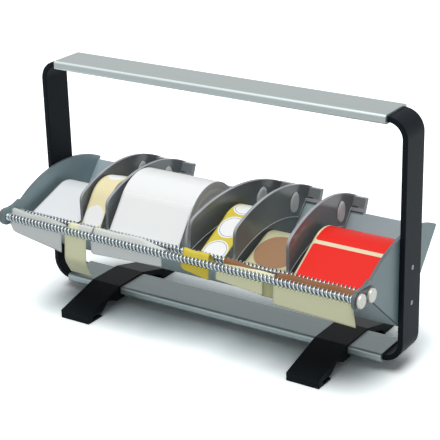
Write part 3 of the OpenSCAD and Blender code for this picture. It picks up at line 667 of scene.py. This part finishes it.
COLUMN_W = 3.5 * MM
LEAST_COLUMNS = 8
CREST_BEATS = (1.2, 2.2)
SKEW_RUN = 60 * MM
START_THIN = 0.15  # share of its thickness that the strip has where it starts on the roll


def crest_lift(web, share, phase, beats):
    """Lift of the crest at a share of the strip's width."""
    left, level, reach, wave = web.crest
    fall_from, fall_by = web.fall
    lift = level + (left - level) * max(1 - share / reach, 0)
    lift -= fall_by * max(share - fall_from, 0) / (1 - fall_from)
    return (lift + wave * math.sin(phase + beats * TURN * share)) * MM


def cut_height(web, share, from_left):
    """Height of the cut lower edge, with its rounded left corner."""
    left, right = web.bottom
    height = (left + (right - left) * share) * MM
    corner = web.round_corner * MM
    if from_left < corner:
        height += corner - math.sqrt(corner ** 2 - (corner - from_left) ** 2)
    return height


def side_shift(web, share, along, stage, down):
    """Sideways shift of a point, from its shares of the width and of the hanging end."""
    spread, flare = (left + (right - left) * share for left, right in (web.spread, web.flare))
    shift = web.skew * min(max(along / SKEW_RUN, 0), 1)
    shift += spread * stage if stage < 1 else spread + (flare - spread) * (stage - 1)
    shift += web.splay * share ** 3 * down
    return shift * MM


def strip(web):
    """The free strip: a thin closed sheet that leans sideways, with a wavy crest and a cut lower edge."""
    node = f"strip_{web.number}"
    low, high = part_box(node)
    width = high.x - low.x
    columns = max(LEAST_COLUMNS, round(width / COLUMN_W))
    wave = random.Random(web.number)
    phase, beats = wave.uniform(0, TURN), wave.uniform(*CREST_BEATS)
    tops, bottoms, pattern = [], [], []
    for i in range(columns + 1):
        share = i / columns
        from_left = share * width
        line = web_line(web, crest_lift(web, share, phase, beats), cut_height(web, share, from_left))
        along = -WRAP * radius_of(f"roll_{web.number}")
        y_before, z_before = line[0][:2]
        for k, (y, z, angle, stage) in enumerate(line):
            along += math.hypot(y - y_before, z - z_before)
            y_before, z_before = y, z
            down = max(k - len(line) + HANG_STEPS, 0) / HANG_STEPS
            x = low.x + from_left + side_shift(web, share, along, stage, down)
            thick = WEB_T / 2 * min(1, START_THIN + k / ARC_STEPS)
            over = Vector((0, math.sin(angle), -math.cos(angle))) * thick
            tops.append(Vector((x, y, z)) + over)
            bottoms.append(Vector((x, y, z)) - over)
            pattern.append((from_left - width / 2, along, stage))
    faces = sheet_faces(columns + 1, len(line))
    made = piece(f"{node}_web", tops + bottoms, faces, [web_paint(web, on_roll=False)], "frame", web.slot)
    places = made.data.attributes.new("web", "FLOAT_VECTOR", "POINT")
    for item, value in zip(places.data, pattern + pattern):
        item.vector = value
    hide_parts(node)


FLAP_WEB = WEBS[4]
FLAP_SIDES = (131.5 * MM, 150 * MM)
FLAP_BOTTOM = 117 * MM
FLAP_UNDER_SPRING = 0.3 * MM
FLAP_BACK = 0.35 * MM


def flap():
    """A cream paper offcut that hangs behind the gap between strips 5 and 6, painted dark as painted shade.
    """
    line = [station[:2] for station in web_line(FLAP_WEB, 0, FLAP_BOTTOM)[-HANG_STEPS - 1:]]
    line[0] = (line[0][0], FRONT.z - COIL_R - FLAP_UNDER_SPRING)
    depths = (FLAP_BACK, FLAP_BACK + WEB_T)
    verts = [(x, y + depth, z) for depth in depths for x in FLAP_SIDES for y, z in line]
    faces = sheet_faces(len(FLAP_SIDES), len(line))
    piece("strip_5_flap", verts, faces, [shaded_flap_paper], "frame", FLAP_WEB.slot)


ROLL_STEPS = 192
RING_STEP = 1.6 * MM
LEAST_RINGS = 6
EDGE_ROUND = 0.4 * MM
UNEVEN = 0.35 * MM
END_SINK, FLUSH_TURNS = 0.2 * MM, 2 * MM
LAST_TURN = 1.4 * MM
SHARP_EDGE = math.radians(40)
ROLL_SEED = 10
END_TONE = 0.82
TURN_TONE = 0.76
TURN_RELIEF = 0.15 * MM


def edge_paint(web):
    """Stacked paper edges on a roll's end: fine rings round the axis."""
    colour = web.ends or shade(web.liner, END_TONE)
    paint = Paint(f"roll_{web.number}_ends", colour, rough=0.8)
    roll = f"roll_{web.number}"
    spot = paint.place_from(middle_of(roll))
    flat = paint.node("VectorMath", {0: spot, 1: (0, 1, 1)}, operation="MULTIPLY")
    away = paint.node("VectorMath", {0: flat}, output="Value", operation="LENGTH")
    fine = paint.rings(away, scale=1800, detail=3)
    broad = paint.rings(away, scale=260, detail=1)
    both = paint.math("ADD", paint.math("MULTIPLY", fine, 0.6), paint.math("MULTIPLY", broad, 0.4))
    wound = paint.mix(paint.spread(both, 0, 1), shade(colour, TURN_TONE), colour)
    last_turn = paint.math("GREATER_THAN", away, radius_of(roll) - LAST_TURN)
    paint.set("Base Color", paint.mix(last_turn, wound, web.liner))
    paint.bump(both, TURN_RELIEF)
    return paint.material


def roll(web):
    """A wound roll: a round side with soft edges and ends whose turns stand at slightly different depths."""
    node = f"roll_{web.number}"
    low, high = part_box(node)
    centre, outer = middle_of(node), radius_of(node)
    bore = radius_of(f"core_{web.number}")
    uneven = random.Random(ROLL_SEED + web.number)
    rings = max(LEAST_RINGS, round((outer - bore) / RING_STEP))
    end = []
    for i in range(rings + 1):
        radius = bore + (outer - EDGE_ROUND - bore) * i / rings
        depth = uneven.uniform(0, UNEVEN)
        end.append((depth + (END_SINK if radius < outer - FLUSH_TURNS else 0), radius))
    left = [(low.x + depth, radius) for depth, radius in end]
    right = [(high.x - depth, radius) for depth, radius in reversed(end)]
    profile = left + [(low.x + EDGE_ROUND, outer), (high.x - EDGE_ROUND, outer)] + right
    verts, faces = [], []
    for s in range(ROLL_STEPS):
        turn = TURN * s / ROLL_STEPS
        for x, radius in profile:
            verts.append((x, centre.y + radius * math.sin(turn), centre.z + radius * math.cos(turn)))
    count = len(profile)
    for s in range(ROLL_STEPS):
        here, there = s * count, (s + 1) % ROLL_STEPS * count
        for k in range(count):
            after = (k + 1) % count
            faces.append((here + k, here + after, there + after, there + k))
    materials = [web_paint(web, on_roll=True), edge_paint(web)]
    made = piece(f"{node}_wound", verts, faces, materials, f"{node}_body", web.slot)
    round_side = (rings, rings + 1, rings + 2)
    for face in made.data.polygons:
        if face.index % count not in round_side:
            face.material_index = 1
    made.data.set_sharp_from_angle(angle=SHARP_EDGE)
    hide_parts(node)


for web in WEBS:
    strip(web)
    roll(web)
flap()


# Dividers: raised thumb pads and the bead along the edge of the thick band

TRAY_TILT = math.radians(40.5)
TRAY_CORNER = Vector((0, 4.95 * MM, 57.8 * MM))
DIVIDER_T = 4 * MM
INNER_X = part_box("right_end_plate")[0].x

# Share of the tray's width, yaw and lean in degrees
DIVIDERS = {
    1: (0.1815, 1.5, 0),
    2: (0.2591, 1.8, 1.2),
    3: (0.5183, 11.2, 5.4),
    4: (0.6367, 3.5, 2),
    5: (0.7806, 0, 0),
}
HANDS = {-1: "left", 1: "right"}


def divider_place(number):
    """Matrix from a divider's own upright side view to its place on the tray."""
    share, yaw, lean = DIVIDERS[number]
    yaw, lean = math.radians(yaw), math.radians(lean)
    lift = DIVIDER_T / 2 * (math.sin(yaw) * math.sin(TRAY_TILT) + math.sin(lean) * math.cos(TRAY_TILT))
    foot = TRAY_CORNER + lift * Vector((0, math.sin(TRAY_TILT), math.cos(TRAY_TILT)))
    foot.x = INNER_X * (2 * share - 1)
    turn = Matrix.Rotation(-yaw, 4, "Z") @ Matrix.Rotation(lean, 4, "Y")
    return Matrix.Translation(foot) @ turn @ Matrix.Translation(-TRAY_CORNER)


def divider_piece(number, side, name, verts, faces, material):
    """A piece on the left (-1) or right (1) face of a divider."""
    full_name = f"divider_{number}_{HANDS[side]}_{name}"
    piece(full_name, verts, faces, [material], f"divider_{number}_body", "divider_grey")


PAD_AT = Vector((0, 59.25 * MM, 166 * MM))
PAD_H, PAD_W = 27.2 * MM, 19 * MM
PAD_LEAN = math.radians(6.5)
PAD_RISE, PAD_CROWN = 0.6 * MM, 2 * MM
PAD_LOW_R = PAD_W / 2 - 0.6 * MM
PAD_TIP = 0.05 * MM
PAD_COVER = 0.998  # share of the flat pad's height that the crowned one covers
PAD_FULL = 0.3  # half width, as a share of the pad's width, from which the crown has its full height
PAD_ROWS, PAD_COLUMNS = 28, 10


def pad_half_width(height):
    """Half width of the teardrop pad at a height from its middle."""
    lens_r = (PAD_H ** 2 + PAD_W ** 2) / (4 * PAD_W)
    lens = math.sqrt(max(lens_r ** 2 - height ** 2, 0)) - lens_r + PAD_W / 2
    from_low = height - (PAD_LOW_R - PAD_H / 2)
    disc = math.sqrt(max(PAD_LOW_R ** 2 - from_low ** 2, 0))
    return max(lens, disc, PAD_TIP)


def thumb_pad(number, side):
    """A crowned teardrop over the flat pad on one face of a divider."""
    place = divider_place(number)
    lean = Matrix.Rotation(-PAD_LEAN, 4, "X")
    face_x = DIVIDER_T / 2 + PAD_RISE
    crowns, backs = [], []
    for i in range(PAD_ROWS + 1):
        height = PAD_H * (i / PAD_ROWS - 0.5) * PAD_COVER
        half = pad_half_width(height)
        for k in range(PAD_COLUMNS + 1):
            share = 2 * k / PAD_COLUMNS - 1
            crown = PAD_CROWN * math.sqrt(max(1 - share ** 2, 0)) * min(1, half / (PAD_W * PAD_FULL))
            point = PAD_AT + lean @ Vector((0, share * half, height))
            crowns.append(place @ (point + Vector((side * (face_x + crown), 0, 0))))
            backs.append(place @ (point + Vector((side * (face_x - PAD_RISE / 2), 0, 0))))
    faces = sheet_faces(PAD_ROWS + 1, PAD_COLUMNS + 1)
    if side < 0:
        faces = [face[::-1] for face in faces]
    divider_piece(number, side, "pad", crowns + backs, faces, pad_paint)


# Round step where the thick band begins, from its front to the band's rear edge along the tray's wall
STEP_AT = Vector((0, 14.75 * MM, -0.9 * MM))
STEP_R = 153.5 * MM
STEP_FRONT, STEP_END = -65.2 * MM, 132.5 * MM
BAND_P = -6.4 * MM
BEAD_R, BEAD_OUT, BEAD_REAR_OUT = 0.9 * MM, 0.4 * MM, 0.6 * MM
BEAD_STEPS, BEAD_REAR_STEPS = 60, 6


def from_tray(p, q):
    """Point of the side view from lengths along the tray's floor and wall."""
    return TRAY_CORNER + Vector((0, p * math.cos(TRAY_TILT) + q * math.sin(TRAY_TILT),
                                 -p * math.sin(TRAY_TILT) + q * math.cos(TRAY_TILT)))


def band_corner():
    """First whole millimetre up the band's rear edge that is outside the round step."""
    edge = (from_tray(BAND_P, k * MM) for k in range(round(STEP_END / MM)))
    return next(point for point in edge if (point - STEP_AT).length > STEP_R)


def step_bead(number, side):
    """A fine round bead along the lower edge of a divider's thick band, and up its rear edge, in a lighter
    colour that is a painted highlight.
    """
    corner, end = band_corner(), from_tray(BAND_P, STEP_END)
    start = math.asin((STEP_FRONT - STEP_AT.y) / STEP_R)
    stop = math.atan2(corner.y - STEP_AT.y, corner.z - STEP_AT.z)
    out = Vector((side * (DIVIDER_T / 2 + BEAD_OUT - BEAD_R), 0, 0))
    rear_out = Vector((side * (DIVIDER_T / 2 + BEAD_REAR_OUT - BEAD_R), 0, 0))
    path = []
    for k in range(BEAD_STEPS + 1):
        angle = start + (stop - start) * k / BEAD_STEPS
        path.append(STEP_AT + STEP_R * Vector((0, math.sin(angle), math.cos(angle))) + out)
    for k in range(1, BEAD_REAR_STEPS + 1):
        path.append(corner.lerp(end, k / BEAD_REAR_STEPS) + rear_out)
    place = divider_place(number)
    divider_piece(number, side, "bead", *tube([place @ point for point in path], BEAD_R), bead_highlight_paint)


for number in DIVIDERS:
    for side in HANDS:
        thumb_pad(number, side)
        step_bead(number, side)


# Stage: floor, light and camera

FLOOR_SIZE = 12
FLOOR_BOUNCE, FLOOR_WHITE = (0.4, 0.4, 0.4, 1), (1.38, 1.45, 1.47, 1)
HORIZON_LIGHT, OVERHEAD_LIGHT = 0.08, 0.36
SUN_TOWARDS = Vector((-0.06, 0.3, -0.95))
SUN_STRENGTH = 2.65
SUN_ANGLE = math.radians(40)


def seen_directly(tree):
    """1 for the rays that show a surface itself: camera, glossy and transmission rays."""
    path = tree.nodes.new("ShaderNodeLightPath").outputs
    seen = path["Is Camera Ray"]
    for kind in ("Is Glossy Ray", "Is Transmission Ray"):
        either = tree.nodes.new("ShaderNodeMath")
        either.operation = "MAXIMUM"
        tree.links.new(seen, either.inputs[0])
        tree.links.new(path[kind], either.inputs[1])
        seen = either.outputs[0]
    return seen


def floor():
    """White floor that keeps the shadow. It looks whiter than the light that it gives back."""
    paint = Paint("floor_white", FLOOR_BOUNCE, rough=0.9, Specular_IOR_Level=0.0)
    paint.set("Base Color", paint.mix(seen_directly(paint.tree), FLOOR_BOUNCE, FLOOR_WHITE))
    corners = [(x * FLOOR_SIZE, y * FLOOR_SIZE, 0) for x, y in ((-1, -1), (1, -1), (1, 1), (-1, 1))]
    mesh = bpy.data.meshes.new("floor")
    mesh.from_pydata(corners, [], [(0, 1, 2, 3)])
    mesh.materials.append(paint.material)
    made = bpy.data.objects.new("floor", mesh)
    bpy.context.scene.collection.objects.link(made)


def world():
    """White studio: seen as plain white, and as a light that falls off from overhead to the horizon."""
    made = bpy.data.worlds.new("studio")
    made.use_nodes = True
    tree = made.node_tree
    upward = tree.nodes.new("ShaderNodeSeparateXYZ")
    where = tree.nodes.new("ShaderNodeTexCoord")
    tree.links.new(where.outputs["Generated"], upward.inputs[0])
    glow = tree.nodes.new("ShaderNodeMapRange")
    tree.links.new(upward.outputs["Z"], glow.inputs["Value"])
    glow.inputs["To Min"].default_value = HORIZON_LIGHT
    glow.inputs["To Max"].default_value = OVERHEAD_LIGHT
    strength = tree.nodes.new("ShaderNodeMix")
    tree.links.new(seen_directly(tree), strength.inputs[0])
    tree.links.new(glow.outputs[0], strength.inputs[2])
    strength.inputs[3].default_value = 1
    tree.links.new(strength.outputs[0], tree.nodes["Background"].inputs["Strength"])
    tree.nodes["Background"].inputs["Color"].default_value = (1, 1, 1, 1)
    bpy.context.scene.world = made


def sun():
    """One broad soft light from above, a little in front of the object."""
    data = bpy.data.lights.new("softbox_sun", "SUN")
    data.energy = SUN_STRENGTH
    data.angle = SUN_ANGLE
    made = bpy.data.objects.new("softbox_sun", data)
    made.rotation_euler = SUN_TOWARDS.to_track_quat("-Z", "Y").to_euler()
    bpy.context.scene.collection.objects.link(made)


EYE = Vector((0.9189, -1.37205, 0.8061))
AZIMUTH, ELEVATION, TILT = (math.radians(a) for a in (33.529, 21.798, -1.409))
FOCUS_PX, IMAGE_PX, SENSOR = 1425.2, 440, 36
SHIFT_PX = (-3.28, 0.64)


def camera():
    """The photograph's view, fitted to the frame's edges."""
    back = Vector((math.sin(AZIMUTH) * math.cos(ELEVATION), -math.cos(AZIMUTH) * math.cos(ELEVATION),
                   math.sin(ELEVATION)))
    level = Vector((math.cos(AZIMUTH), math.sin(AZIMUTH), 0))
    upright = back.cross(level)
    right = math.cos(TILT) * level + math.sin(TILT) * upright
    up = -math.sin(TILT) * level + math.cos(TILT) * upright
    data = bpy.data.cameras.new("camera")
    data.sensor_width = SENSOR
    data.lens = SENSOR * FOCUS_PX / IMAGE_PX
    data.shift_x, data.shift_y = (shift / IMAGE_PX for shift in SHIFT_PX)
    made = bpy.data.objects.new("camera", data)
    made.matrix_world = Matrix.Translation(EYE) @ Matrix((right, up, back)).transposed().to_4x4()
    bpy.context.scene.collection.objects.link(made)
    bpy.context.scene.camera = made


floor()
world()
sun()
camera()
bpy.context.scene.view_settings.view_transform = "Standard"
